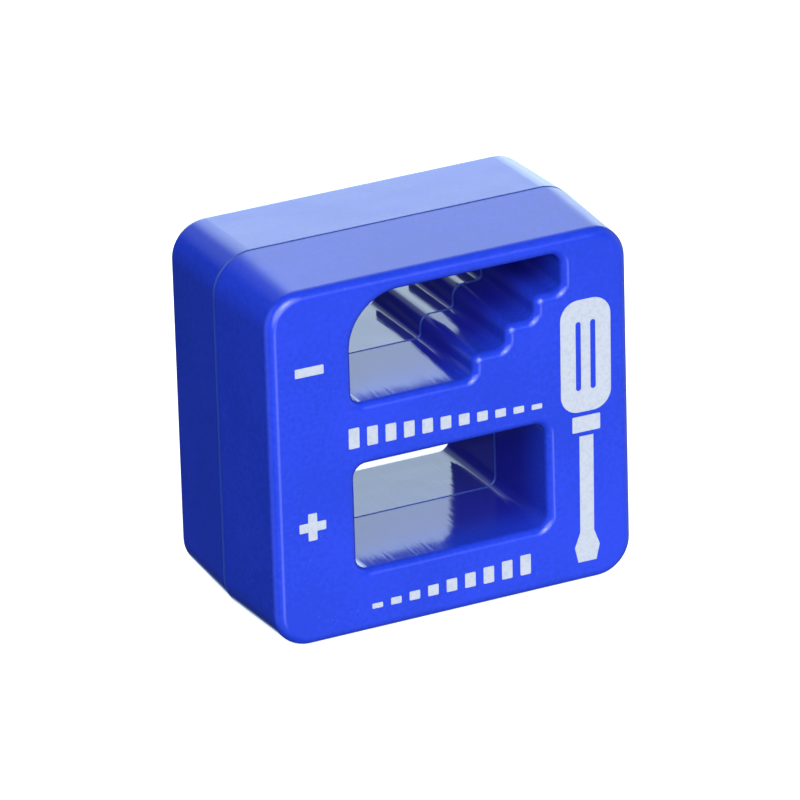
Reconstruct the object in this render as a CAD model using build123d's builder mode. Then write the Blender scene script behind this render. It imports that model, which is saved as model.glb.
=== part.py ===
"""Tool magnetizer and demagnetizer block: two moulded half shells around two ferrite magnets.

Millimetres, +Z up. The origin is at the bottom centre, on the lowest line of the seam.
The printed face looks towards -Y, and the plane Y = 0 is the seam between the halves.
"""

import os

from build123d import *

# The block, measured at the seam, where it is widest
WIDTH = 52.0
HEIGHT = 50.0
HALF_DEPTH = 14.7
CORNER_RADIUS = 5.4
OUTER_DRAFT = 2.3
FACE_EDGE_RADIUS = 1.4
WALL = 1.5
SEAM_CHAMFER = 0.15

# The windows, measured at the seam, where they are narrowest
WINDOW_DRAFT = 1.4
LIP_RADIUS = 1.1
TUNNEL_WALL = 1.5
WINDOW_LEFT = -13.5
MAGNETIZE_RIGHT = 13.12
MAGNETIZE_FLOOR = 9.64
MAGNETIZE_TOP = 23.65
MAGNETIZE_CORNER = 1.4
DEMAGNETIZE_FLOOR = 32.78
DEMAGNETIZE_TOP = 46.64
DEMAGNETIZE_CORNER = 1.25
DEMAGNETIZE_ARC = 6.75
RISERS = [2.93, 7.66, 11.83, 15.77]
TREADS = [35.87, 39.01, 42.11]
RISER_FOOT_RADIUS = 0.75
NOSE_RADIUS = 1.52

# The magnets, and the foam pads that keep them from rattling
MAGNET_LENGTH = 32.0
MAGNET_DEPTH = 20.0
MAGNET_THICKNESS = 5.0
MAGNET_EDGE = 0.4
PAD_LENGTH = 28.0
PAD_DEPTH = 16.0
PLAY = 0.03
WEB_FLOOR = MAGNETIZE_TOP + TUNNEL_WALL
WEB_ROOF = DEMAGNETIZE_FLOOR - TUNNEL_WALL
BASE_FLOOR = 2.1
BASE_ROOF = MAGNETIZE_FLOOR - TUNNEL_WALL

# Ribs, posts and locating pins inside the shells
BAND_TOP = 48.8
RIB = 1.2
STOP_GAP = 0.15
SEAM_GAP = 0.4
POST_RADIUS = 2.4
POST_X = 20.8
POST_INSET = 5.2
PIN_RADIUS = 1.4
PIN_LENGTH = 3.0
PIN_TIP = 0.4
SOCKET_RADIUS = 1.5
SOCKET_DEPTH = 3.4
SIDE_RIB_HEIGHTS = [16.6, 37.0]
SIDE_RIB_LENGTH = 10.4
SIDE_RIB_X = 19.5
SIDE_RIB_GAP = 4.0

# Pad printing on the front face, slightly out of square with the block
INK = 0.04
PRINT_TILT = 0.65
PRINT_CORNER = 0.15
SIGN_X = -20.0
MINUS_Z = 13.4
PLUS_Z = -8.05
MINUS_LENGTH = 4.0
PLUS_LENGTH = 3.75
SIGN_STROKE = 1.25
BAR_WIDTH = 1.5
TALL_BAR = 2.8
SHORT_BAR = 0.7
DEMAGNETIZE_ROW = (-14.7, 12.75)
DEMAGNETIZE_ROW_Z = 1.55
DEMAGNETIZE_BARS = 11
MAGNETIZE_ROW = (-11.85, 10.85)
MAGNETIZE_ROW_Z = -21.3
MAGNETIZE_BARS = 9
TOOL_X = 19.05
TOOL_TOP = 15.4
HANDLE_LENGTH = 15.6
HANDLE_WIDTH = 7.2
HANDLE_CORNER = 2.6
GROOVE_LENGTH = 9.6
GROOVE_WIDTH = 0.75
GROOVE_SPACING = 2.1
COLLAR_LENGTH = 2.2
COLLAR_WIDTH = 4.0
BLADE_END = -21.3
SHANK_WIDTH = 2.0
TIP_LENGTH = 4.2
TIP_WIDTH = 3.6
TIP_END_WIDTH = 2.6
PRINT_GAP = 0.6

CAVITY_DEPTH = HALF_DEPTH - WALL
INTO_FACE = HALF_DEPTH - WALL / 2
MID_HEIGHT = HEIGHT / 2
POSTS = [(x, z) for x in (-POST_X, POST_X) for z in (POST_INSET, HEIGHT - POST_INSET)]
PRINT_AXIS = Vector(1, 0, 0).rotate(Axis.Y, PRINT_TILT)
TOP_ALIGN = (Align.CENTER, Align.MAX)
PRINT_FACE = Plane(origin=(0, -HALF_DEPTH, MID_HEIGHT), x_dir=PRINT_AXIS, z_dir=(0, -1, 0))

os.makedirs("parts", exist_ok=True)


def magnetize_outline(grow=0.0):
    """The plain window at the seam, made larger all round by `grow`."""
    with BuildSketch(Plane.XZ) as outline:
        with BuildLine():
            FilletPolyline(
                (WINDOW_LEFT, MAGNETIZE_FLOOR),
                (MAGNETIZE_RIGHT, MAGNETIZE_FLOOR),
                (MAGNETIZE_RIGHT, MAGNETIZE_TOP),
                (WINDOW_LEFT, MAGNETIZE_TOP),
                radius=MAGNETIZE_CORNER,
                close=True,
            )
        make_face()
        offset(amount=grow)
    return outline.sketch


def demagnetize_outline(grow=0.0):
    """The stepped window at the seam: a floor, three treads, and one large arc at the top left."""
    points = [(WINDOW_LEFT, DEMAGNETIZE_FLOOR)]
    radii = [DEMAGNETIZE_CORNER]
    for riser, foot, nose in zip(RISERS, [DEMAGNETIZE_FLOOR] + TREADS, TREADS):
        points += [(riser, foot), (riser, nose)]
        radii += [RISER_FOOT_RADIUS, NOSE_RADIUS]
    points += [(RISERS[-1], TREADS[-1]), (RISERS[-1], DEMAGNETIZE_TOP), (WINDOW_LEFT, DEMAGNETIZE_TOP)]
    radii += [RISER_FOOT_RADIUS, DEMAGNETIZE_CORNER, DEMAGNETIZE_ARC]
    with BuildSketch(Plane.XZ) as outline:
        with BuildLine():
            FilletPolyline(points, radius=radii, close=True)
        make_face()
        offset(amount=grow)
    return outline.sketch


def block_outline(inset):
    """The block at the seam, `inset` inside its outer surface."""
    with BuildSketch(Plane.XZ) as outline:
        with Locations((0, MID_HEIGHT)):
            RectangleRounded(WIDTH - 2 * inset, HEIGHT - 2 * inset, CORNER_RADIUS - inset)
    return outline.sketch


def top_band():
    """Fills the thin space between the stepped window's top wall and the top of the block."""
    with BuildSketch(Plane.XZ) as band:
        with Locations((WINDOW_LEFT + DEMAGNETIZE_ARC, DEMAGNETIZE_TOP)):
            Rectangle(RISERS[-1] - WINDOW_LEFT - DEMAGNETIZE_ARC, BAND_TOP - DEMAGNETIZE_TOP, align=Align.MIN)
    extrude(band.sketch, amount=INTO_FACE)


def rib(x, z, length, height, gap):
    """A rib from the inside of the face to `gap` short of the seam, centred on x and z."""
    with BuildSketch(Plane.XZ.offset(gap)) as section:
        with Locations((x, z)):
            Rectangle(length, height)
    extrude(section.sketch, amount=INTO_FACE - gap)


def magnet_ribs(floor, roof):
    """Ribs around one magnet: a stop at each end, and two short ribs behind it, from the face."""
    middle = (floor + roof) / 2
    for side in (-1, 1):
        rib(side * (MAGNET_LENGTH / 2 + STOP_GAP + RIB / 2), middle, RIB, roof - floor, SEAM_GAP)
        rib(side * MAGNET_LENGTH / 4, middle, RIB, roof - floor, MAGNET_DEPTH / 2 + STOP_GAP)


def side_ribs():
    """Level ribs that stiffen the two sides, between the outer wall and the window walls."""
    for x in (-SIDE_RIB_X, SIDE_RIB_X):
        for z in SIDE_RIB_HEIGHTS:
            rib(x, z, SIDE_RIB_LENGTH, RIB, SIDE_RIB_GAP)


def at_posts(radius, start, length, mode=Mode.ADD):
    """Round features on the four corner posts, from y = -start towards -Y."""
    with BuildSketch(Plane.XZ.offset(start)) as rounds:
        with Locations(POSTS):
            Circle(radius)
    extrude(rounds.sketch, amount=length, mode=mode)


def moulded_half():
    """The half on the -Y side of the seam, with plain posts: no pins and no sockets."""
    extrude(block_outline(0), amount=HALF_DEPTH, taper=OUTER_DRAFT)
    fillet(faces().sort_by(Axis.Y)[0].edges(), FACE_EDGE_RADIUS)
    chamfer(faces().sort_by(Axis.Y)[-1].edges(), SEAM_CHAMFER)
    extrude(block_outline(WALL), amount=CAVITY_DEPTH, taper=OUTER_DRAFT, mode=Mode.SUBTRACT)
    for outline in WINDOWS:
        extrude(outline(TUNNEL_WALL), amount=INTO_FACE)
    top_band()
    magnet_ribs(WEB_FLOOR, WEB_ROOF)
    magnet_ribs(BASE_FLOOR, BASE_ROOF)
    side_ribs()
    for outline in WINDOWS:
        extrude(outline(), amount=HALF_DEPTH, taper=-WINDOW_DRAFT, mode=Mode.SUBTRACT)
        extrude(outline(SEAM_CHAMFER), amount=SEAM_CHAMFER, taper=45, mode=Mode.SUBTRACT)
    fillet(faces().sort_by(Axis.Y)[0].inner_wires().edges(), LIP_RADIUS)
    at_posts(POST_RADIUS, 0, INTO_FACE)


def magnet(floor):
    """A ferrite block with lightly broken edges, lying on `floor`."""
    with Locations((0, 0, floor + PLAY)):
        Box(MAGNET_LENGTH, MAGNET_DEPTH, MAGNET_THICKNESS, align=(Align.CENTER, Align.CENTER, Align.MIN))
    chamfer(edges(), MAGNET_EDGE)


def pad(floor, roof):
    """The foam pad between a magnet lying on `floor` and the wall above it."""
    with Locations((0, 0, roof - PLAY)):
        thickness = roof - floor - MAGNET_THICKNESS - 3 * PLAY
        Box(PAD_LENGTH, PAD_DEPTH, thickness, align=(Align.CENTER, Align.CENTER, Align.MAX))


def printed_bar(x, z, width, height):
    """One printed bar, standing on the line z."""
    with Locations((x, z + height / 2)):
        RectangleRounded(width, height, PRINT_CORNER)


def bar_row(ends, count, z, first, last):
    """A row of printed bars between two ends, standing on z, from `first` high to `last` high."""
    left, right = ends
    pitch = (right - left - BAR_WIDTH) / (count - 1)
    for i in range(count):
        height = first + (last - first) * i / (count - 1)
        printed_bar(left + BAR_WIDTH / 2 + i * pitch, z, BAR_WIDTH, height)


WINDOWS = (magnetize_outline, demagnetize_outline)

with BuildPart() as front_shell:
    moulded_half()
    at_posts(SOCKET_RADIUS, 0, SOCKET_DEPTH, Mode.SUBTRACT)
front_shell.part.label = "front_shell"
export_step(front_shell.part, "parts/front_shell.step")

with BuildPart() as rear_shell:
    moulded_half()
    at_posts(PIN_RADIUS, -PIN_LENGTH, PIN_LENGTH + WALL)
    chamfer(faces().sort_by(Axis.Y)[-4:].edges(), PIN_TIP)
    mirror(about=Plane.XZ, mode=Mode.REPLACE)
rear_shell.part.label = "rear_shell"
export_step(rear_shell.part, "parts/rear_shell.step")

with BuildPart() as web_magnet:
    magnet(WEB_FLOOR)
web_magnet.part.label = "web_magnet"
export_step(web_magnet.part, "parts/web_magnet.step")

with BuildPart() as base_magnet:
    magnet(BASE_FLOOR)
base_magnet.part.label = "base_magnet"
export_step(base_magnet.part, "parts/base_magnet.step")

with BuildPart() as web_magnet_pad:
    pad(WEB_FLOOR, WEB_ROOF)
web_magnet_pad.part.label = "web_magnet_pad"
export_step(web_magnet_pad.part, "parts/web_magnet_pad.step")

with BuildPart() as base_magnet_pad:
    pad(BASE_FLOOR, BASE_ROOF)
base_magnet_pad.part.label = "base_magnet_pad"
export_step(base_magnet_pad.part, "parts/base_magnet_pad.step")

with BuildPart() as minus_mark:
    with BuildSketch(PRINT_FACE):
        with Locations((SIGN_X, MINUS_Z)):
            RectangleRounded(MINUS_LENGTH, SIGN_STROKE, PRINT_CORNER)
    extrude(amount=INK)
minus_mark.part.label = "minus_mark"
export_step(minus_mark.part, "parts/minus_mark.step")

with BuildPart() as plus_mark:
    with BuildSketch(PRINT_FACE):
        with Locations((SIGN_X, PLUS_Z)):
            RectangleRounded(PLUS_LENGTH, SIGN_STROKE, PRINT_CORNER)
            RectangleRounded(SIGN_STROKE, PLUS_LENGTH, PRINT_CORNER)
    extrude(amount=INK)
plus_mark.part.label = "plus_mark"
export_step(plus_mark.part, "parts/plus_mark.step")

with BuildPart() as demagnetize_mark:
    with BuildSketch(PRINT_FACE):
        bar_row(DEMAGNETIZE_ROW, DEMAGNETIZE_BARS, DEMAGNETIZE_ROW_Z, TALL_BAR, SHORT_BAR)
    extrude(amount=INK)
demagnetize_mark.part.label = "demagnetize_mark"
export_step(demagnetize_mark.part, "parts/demagnetize_mark.step")

with BuildPart() as magnetize_mark:
    with BuildSketch(PRINT_FACE):
        bar_row(MAGNETIZE_ROW, MAGNETIZE_BARS, MAGNETIZE_ROW_Z, SHORT_BAR, TALL_BAR)
    extrude(amount=INK)
magnetize_mark.part.label = "magnetize_mark"
export_step(magnetize_mark.part, "parts/magnetize_mark.step")

with BuildPart() as tool_mark:
    with BuildSketch(PRINT_FACE):
        with Locations((TOOL_X, TOOL_TOP)):
            RectangleRounded(HANDLE_WIDTH, HANDLE_LENGTH, HANDLE_CORNER, align=TOP_ALIGN)
        with Locations((TOOL_X, TOOL_TOP - HANDLE_LENGTH / 2)):
            with GridLocations(GROOVE_SPACING, 1, 2, 1):
                SlotOverall(GROOVE_LENGTH, GROOVE_WIDTH, rotation=90, mode=Mode.SUBTRACT)
        with Locations((TOOL_X, TOOL_TOP - HANDLE_LENGTH - PRINT_GAP)):
            RectangleRounded(COLLAR_WIDTH, COLLAR_LENGTH, PRINT_CORNER, align=TOP_ALIGN)
        with BuildLine():
            blade_top = TOOL_TOP - HANDLE_LENGTH - COLLAR_LENGTH - 2 * PRINT_GAP
            half_blade = Polyline(
                (TOOL_X, blade_top),
                (TOOL_X + SHANK_WIDTH / 2, blade_top),
                (TOOL_X + SHANK_WIDTH / 2, BLADE_END + TIP_LENGTH),
                (TOOL_X + TIP_WIDTH / 2, BLADE_END + TIP_LENGTH / 2),
                (TOOL_X + TIP_END_WIDTH / 2, BLADE_END),
                (TOOL_X, BLADE_END),
            )
            mirror(half_blade, about=Plane.YZ.offset(TOOL_X))
        make_face()
    extrude(amount=INK)
tool_mark.part.label = "tool_mark"
export_step(tool_mark.part, "parts/tool_mark.step")
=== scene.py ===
"""A tool magnetizer and demagnetizer block: looks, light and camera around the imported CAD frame.

Metres and degrees, in the CAD's frame. Azimuth 0 is at the front of the block, and 90 at its right.
"""

import math

import bpy
from mathutils import Matrix, Vector


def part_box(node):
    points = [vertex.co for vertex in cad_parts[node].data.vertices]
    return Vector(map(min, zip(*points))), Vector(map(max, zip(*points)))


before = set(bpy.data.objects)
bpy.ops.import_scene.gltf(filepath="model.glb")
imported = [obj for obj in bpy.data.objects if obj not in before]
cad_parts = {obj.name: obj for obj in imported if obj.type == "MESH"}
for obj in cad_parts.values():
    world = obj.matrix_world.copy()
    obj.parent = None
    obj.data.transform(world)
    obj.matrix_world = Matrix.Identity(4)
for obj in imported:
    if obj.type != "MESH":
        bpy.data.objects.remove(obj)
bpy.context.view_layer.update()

SHELLS = ("front_shell", "rear_shell")
MAGNETS = ("web_magnet", "base_magnet")
PADS = ("web_magnet_pad", "base_magnet_pad")
PRINTS = ("minus_mark", "plus_mark", "demagnetize_mark", "magnetize_mark", "tool_mark")

# The camera looks at the middle of the block from the front left and above, through a long lens
VIEW_AZIMUTH = -25.615
VIEW_ELEVATION = 23.946
VIEW_ROLL = -1.714
VIEW_DISTANCE = 1.1155
VIEW_AIM = Vector((-0.00027, -0.00001, 0.02472))
LENS_MM = 390.47
SENSOR_MM = 36.0
NEAR_CLIP = 0.05
FAR_CLIP = 20.0

# Soft round lights in the world: azimuth, elevation, half width, and radiance in the middle
SOFT_LIGHTS = (
    # The key, a broad light from the front left and above, and its brighter core
    (-16, 25, 45, 5.15),
    (-12, 32, 16, 6.0),
    # Weak fills from the left and the right
    (-100, 20, 42, 0.6),
    (95, 5, 45, 0.5),
    # The glow of the table: strong just in front, and weak on both sides
    (-4, -24, 16, 2.2),
    (-95, -25, 30, 0.4),
    (-25, -35, 35, 0.3),
    (20, -20, 26, 0.15),
    (60, -30, 45, 0.25),
    # The backdrop, from low to high, then its far side, and its glow on the table
    (158, 0, 26, 2.0),
    (155, 20, 28, 1.45),
    (155, 45, 28, 1.0),
    (180, 25, 28, 0.55),
    (147, -35, 26, 1.3),
)
AMBIENT = 0.03

# The light is a little cool, and cooler from behind: the tint turns between two values of a direction's Y
FRONT_TINT = (0.90, 1.0, 1.02, 1)
REAR_TINT = (0.78, 0.99, 1.07, 1)
TINT_TURN = (-0.1, 0.5)
WHITE = (1, 1, 1, 1)

FLOOR_SIZE = 8
FLOOR_COLOUR = (0.9, 0.9, 0.9, 1)
FLOOR_ROUGHNESS = 0.8
FLOOR_GLOW = 0.8

# The plastic's linear colours: two tones of blue, dust, painted shade in the seam line, and painted shade
# deep in the windows
DARKER_BLUE = (0.013, 0.041, 0.52, 1)
LIGHTER_BLUE = (0.018, 0.047, 0.60, 1)
DUST = (0.09, 0.13, 0.5, 1)
# Painted shade in the gap of the seam between the two shells
SEAM_SHADE_BLUE = (0.011, 0.042, 0.34, 1)
# Painted shade deep in the windows, where the walls get little light
DEEP_SHADE_BLUE = (0.012, 0.014, 0.29, 1)

# Where the plastic changes: the seam line, the box that holds the window walls but none of the outside,
# and the depths between which painted shade makes the windows darker
SEAM_HALF_WIDTH = 0.00022
SEAM_BLUR = 0.0001
INSIDE_CENTRE = (0, 0, 0.028)
INSIDE_HALF = (0.021, 0.0139, 0.0205)
INSIDE_EDGE = 0.96
MOUTH_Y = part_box("front_shell")[0][1]
DEEP_Y = -0.0055

# The plastic's noise scales, per metre. The streaks are drawn out along the depth of the block.
CLOUD_SCALE = 60.0
GRAIN_SCALE = 1500.0
SPECK_SCALE = 2600.0
SATIN_SCALE = 350.0
STREAK_SCALE = 2500.0
STREAK_STRETCH = (1, 0.05, 1)
SWELL_SCALE = 80.0

# The plastic's roughness outside and in the windows, and the heights and strengths of its marks
SATIN_ROUGHNESS = (0.11, 0.17)
GLOSS_ROUGHNESS = (0.06, 0.12)
SEAM_ROUGHNESS = 0.5
INSIDE_COAT = 0.35
COAT_ROUGHNESS = 0.08
SWELL_HEIGHT = 0.0005
SWELL_STRENGTH = 0.16
STREAK_HEIGHT = 0.00004
STREAKS_OUTSIDE = 0.1
STREAKS_INSIDE = 0.4

# The print
THIN_INK = (0.41, 0.42, 0.51, 1)
THICK_INK = (0.48, 0.48, 0.56, 1)
INK_SCALE = 2400.0
INK_ROUGHNESS = 0.5

# The magnets, with grinding lines along their length
DARK_FERRITE = (0.010, 0.010, 0.011, 1)
LIGHT_FERRITE = (0.030, 0.030, 0.032, 1)
FERRITE_GRAIN_SCALE = 4000.0
FERRITE_GRAIN_HEIGHT = 0.00003
GRINDING_SCALE = 3000.0
GRINDING_STRETCH = (0.03, 1, 1)
GRINDING_HEIGHT = 0.00002
FERRITE_ROUGHNESS = (0.45, 0.65)

# The foam pads
DARK_FOAM = (0.006, 0.006, 0.006, 1)
LIGHT_FOAM = (0.022, 0.022, 0.023, 1)
CELL_SCALE = 2200.0
CELL_HEIGHT = 0.0002
FOAM_ROUGHNESS = 0.95

scene = bpy.context.scene
scene.view_settings.view_transform = "Standard"


def looking(azimuth, elevation, roll=0.0):
    """A rotation whose local Z points back along the view; azimuth 0 looks along +Y."""
    turn = Matrix.Rotation(math.radians(azimuth), 4, "Z")
    tip = Matrix.Rotation(math.radians(90 - elevation), 4, "X")
    return turn @ tip @ Matrix.Rotation(math.radians(roll), 4, "Z")


def towards(azimuth, elevation):
    """The unit vector from the block to that direction."""
    return looking(azimuth, elevation).to_3x3() @ Vector((0, 0, 1))


def make_camera():
    data = bpy.data.cameras.new("camera")
    data.lens = LENS_MM
    data.sensor_width = SENSOR_MM
    data.clip_start = NEAR_CLIP
    data.clip_end = FAR_CLIP
    camera = bpy.data.objects.new("camera", data)
    scene.collection.objects.link(camera)
    place = Matrix.Translation(VIEW_AIM + VIEW_DISTANCE * towards(VIEW_AZIMUTH, VIEW_ELEVATION))
    camera.matrix_world = place @ looking(VIEW_AZIMUTH, VIEW_ELEVATION, VIEW_ROLL)
    scene.camera = camera


class Nodes:
    """Adds shader nodes to one node tree, with their inputs given as values or as sockets to link."""

    def __init__(self, tree):
        self.tree = tree

    def fill(self, node, inputs):
        """Sets or links a node's inputs, named or, where several share a name, numbered."""
        for key, value in inputs.items():
            if isinstance(value, bpy.types.NodeSocket):
                self.tree.links.new(value, node.inputs[key])
            else:
                node.inputs[key].default_value = value

    def add(self, kind, inputs, **settings):
        node = self.tree.nodes.new("ShaderNode" + kind)
        for key, value in settings.items():
            setattr(node, key, value)
        self.fill(node, inputs)
        return node

    def coordinates(self, kind):
        return self.add("TexCoord", {}).outputs[kind]

    def split(self, vector):
        return self.add("SeparateXYZ", {"Vector": vector}).outputs

    def math(self, operation, a, b=0.0):
        return self.add("Math", {0: a, 1: b}, operation=operation).outputs["Value"]

    def vector_math(self, operation, a, b=(0, 0, 0)):
        return self.add("VectorMath", {0: a, 1: b}, operation=operation).outputs

    def ramp(self, value, low, high, to_low=0.0, to_high=1.0, kind="SMOOTHSTEP"):
        """`value` mapped from low..high to to_low..to_high, and held outside it."""
        inputs = {"Value": value, "From Min": low, "From Max": high, "To Min": to_low, "To Max": to_high}
        return self.add("MapRange", inputs, interpolation_type=kind).outputs["Result"]

    def noise(self, place, scale, detail=2.0, roughness=0.5):
        inputs = {"Vector": place, "Scale": scale, "Detail": detail, "Roughness": roughness}
        return self.add("TexNoise", inputs).outputs["Fac"]

    def stretched(self, place, scale):
        return self.add("Mapping", {"Vector": place, "Scale": scale}).outputs["Vector"]

    def mix_numbers(self, factor, a, b):
        """Number a where factor is 0, and b where it is 1."""
        return self.add("Mix", {0: factor, 2: a, 3: b}, data_type="FLOAT").outputs[0]

    def mix_colours(self, factor, a, b):
        """Colour a where factor is 0, and b where it is 1."""
        return self.add("Mix", {0: factor, 6: a, 7: b}, data_type="RGBA").outputs[2]

    def bump(self, height, distance, strength, under=None):
        """Bumps on the plain surface, or on the bumps `under` them."""
        inputs = {"Height": height, "Distance": distance, "Strength": strength}
        if under:
            inputs["Normal"] = under
        return self.add("Bump", inputs).outputs["Normal"]


def make_world():
    """Soft lights on a dim surround, cooler behind the block. The camera itself sees plain white."""
    world = bpy.data.worlds.new("studio")
    scene.world = world
    world.use_nodes = True
    nodes = Nodes(world.node_tree)
    direction = nodes.coordinates("Generated")
    total = AMBIENT
    for azimuth, elevation, half_width, radiance in SOFT_LIGHTS:
        nearness = nodes.vector_math("DOT_PRODUCT", direction, towards(azimuth, elevation))["Value"]
        light = nodes.ramp(nearness, math.cos(math.radians(half_width)), 1.0, 0.0, radiance)
        total = nodes.math("ADD", light, total)
    to_camera = nodes.add("LightPath", {}).outputs["Is Camera Ray"]
    behind = nodes.ramp(nodes.split(direction)["Y"], *TINT_TURN)
    tint = nodes.mix_colours(to_camera, nodes.mix_colours(behind, FRONT_TINT, REAR_TINT), WHITE)
    strength = nodes.math("MAXIMUM", total, to_camera)
    nodes.fill(world.node_tree.nodes["Background"], {"Color": tint, "Strength": strength})


def new_material(name):
    material = bpy.data.materials.new(name)
    material.use_nodes = True
    return material, Nodes(material.node_tree), material.node_tree.nodes["Principled BSDF"]


def make_floor():
    """A plain pale table top that shows almost white, with a faint contact shadow.

    It doesn't light the block: the lights below the horizon stand for its glow.
    """
    bpy.ops.mesh.primitive_plane_add(size=FLOOR_SIZE, location=(0, 0, 0))
    floor = bpy.context.object
    floor.name = "floor"
    material, nodes, shader = new_material("pale_floor")
    surface = {"Base Color": FLOOR_COLOUR, "Roughness": FLOOR_ROUGHNESS}
    nodes.fill(shader, {**surface, "Emission Color": WHITE, "Emission Strength": FLOOR_GLOW})
    floor.data.materials.append(material)
    floor.visible_diffuse = False
    floor.visible_glossy = False


def inside_box(nodes, place):
    """1 in the box that holds the window walls, and 0 on the outside of the block."""
    offset = nodes.vector_math("SUBTRACT", place, INSIDE_CENTRE)["Vector"]
    scaled = nodes.vector_math("DIVIDE", offset, INSIDE_HALF)["Vector"]
    parts = nodes.split(nodes.vector_math("ABSOLUTE", scaled)["Vector"])
    largest = nodes.math("MAXIMUM", nodes.math("MAXIMUM", parts["X"], parts["Y"]), parts["Z"])
    return nodes.ramp(largest, INSIDE_EDGE, 1.0, 1.0, 0.0)


def plastic_colour(nodes, place, depth, seam, inside):
    """Slightly uneven blue with light specks of dust, with painted shade in the seam line and deep in the
    windows.
    """
    clouds = nodes.noise(place, CLOUD_SCALE, 3.0)
    grain = nodes.noise(place, GRAIN_SCALE, 2.0)
    uneven = nodes.math("MULTIPLY", nodes.math("ADD", clouds, grain), 0.5)
    tone = nodes.mix_colours(nodes.ramp(uneven, 0.38, 0.62), DARKER_BLUE, LIGHTER_BLUE)
    specks = nodes.ramp(nodes.noise(place, SPECK_SCALE, 1.0), 0.76, 0.80, 0.0, 0.5)
    dusty = nodes.mix_colours(specks, tone, DUST)
    # Painted shade: the window walls grow darker from the mouth to DEEP_Y
    deep_shade = nodes.math("MULTIPLY", inside, nodes.ramp(depth, MOUTH_Y, DEEP_Y))
    # Painted shade in the seam line over all the rest
    return nodes.mix_colours(seam, nodes.mix_colours(deep_shade, dusty, DEEP_SHADE_BLUE), SEAM_SHADE_BLUE)


def shell_material():
    """Blue plastic: satin outside, glossier in the windows, with a rougher seam line of painted shade,
    painted shade deep in the windows, swells and draw marks.
    """
    material, nodes, shader = new_material("blue_moulded_plastic")
    place = nodes.coordinates("Object")
    depth = nodes.split(place)["Y"]
    inside = inside_box(nodes, place)
    off_seam = nodes.math("ABSOLUTE", depth)
    # The seam line, where the colour gets painted shade and the finish is rougher
    seam = nodes.ramp(off_seam, SEAM_HALF_WIDTH, SEAM_HALF_WIDTH + SEAM_BLUR, 1.0, 0.0)
    streaks = nodes.noise(nodes.stretched(place, STREAK_STRETCH), STREAK_SCALE, 3.0)
    satin = nodes.ramp(nodes.noise(place, SATIN_SCALE, 4.0, 0.6), 0.3, 0.75, *SATIN_ROUGHNESS)
    gloss = nodes.ramp(streaks, 0.35, 0.75, *GLOSS_ROUGHNESS)
    smooth = nodes.mix_numbers(inside, satin, gloss)
    swell = nodes.bump(nodes.noise(place, SWELL_SCALE, 2.0), SWELL_HEIGHT, SWELL_STRENGTH)
    streakiness = nodes.ramp(inside, 0.0, 1.0, STREAKS_OUTSIDE, STREAKS_INSIDE, "LINEAR")
    marks = nodes.bump(streaks, STREAK_HEIGHT, streakiness, swell)
    nodes.fill(shader, {
        "Base Color": plastic_colour(nodes, place, depth, seam, inside),
        "Roughness": nodes.mix_numbers(seam, smooth, SEAM_ROUGHNESS),
        "Normal": marks,
        "Coat Weight": nodes.ramp(inside, 0.0, 1.0, 0.0, INSIDE_COAT, "LINEAR"),
        "Coat Roughness": COAT_ROUGHNESS,
        "Coat Normal": marks,
    })
    return material


def print_material():
    """Thin white pad print: slightly mottled where the ink is thinner and the blue shows through."""
    material, nodes, shader = new_material("white_pad_print")
    place = nodes.coordinates("Object")
    mottle = nodes.ramp(nodes.noise(place, INK_SCALE, 3.0, 0.6), 0.3, 0.6)
    colour = nodes.mix_colours(mottle, THIN_INK, THICK_INK)
    nodes.fill(shader, {"Base Color": colour, "Roughness": INK_ROUGHNESS})
    return material


def ferrite_material():
    """Sintered ferrite: dark grey and matt, with fine grain and a few grinding lines."""
    material, nodes, shader = new_material("sintered_ferrite")
    place = nodes.coordinates("Object")
    grain = nodes.noise(place, FERRITE_GRAIN_SCALE, 4.0, 0.7)
    lines = nodes.noise(nodes.stretched(place, GRINDING_STRETCH), GRINDING_SCALE, 2.0)
    colour = nodes.mix_colours(nodes.ramp(grain, 0.35, 0.7), DARK_FERRITE, LIGHT_FERRITE)
    rough = nodes.ramp(lines, 0.3, 0.7, *FERRITE_ROUGHNESS)
    ground = nodes.bump(lines, GRINDING_HEIGHT, 0.3)
    grainy = nodes.bump(grain, FERRITE_GRAIN_HEIGHT, 0.5, ground)
    nodes.fill(shader, {"Base Color": colour, "Roughness": rough, "Normal": grainy})
    return material


def foam_material():
    """Black foam rubber: soft, matt and full of small open cells."""
    material, nodes, shader = new_material("foam_rubber")
    place = nodes.coordinates("Object")
    cells = nodes.add("TexVoronoi", {"Vector": place, "Scale": CELL_SCALE}).outputs["Distance"]
    colour = nodes.mix_colours(nodes.ramp(cells, 0.1, 0.5), DARK_FOAM, LIGHT_FOAM)
    open_cells = nodes.bump(cells, CELL_HEIGHT, 0.8)
    nodes.fill(shader, {"Base Color": colour, "Roughness": FOAM_ROUGHNESS, "Normal": open_cells})
    return material


def give(node, material):
    """Makes `material` the only one on a CAD node."""
    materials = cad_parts[node].data.materials
    materials.clear()
    materials.append(material)


make_camera()
make_world()
make_floor()

finishes = (
    (SHELLS, shell_material()),
    (PRINTS, print_material()),
    (MAGNETS, ferrite_material()),
    (PADS, foam_material()),
)
for names, finish in finishes:
    for name in names:
        give(name, finish)
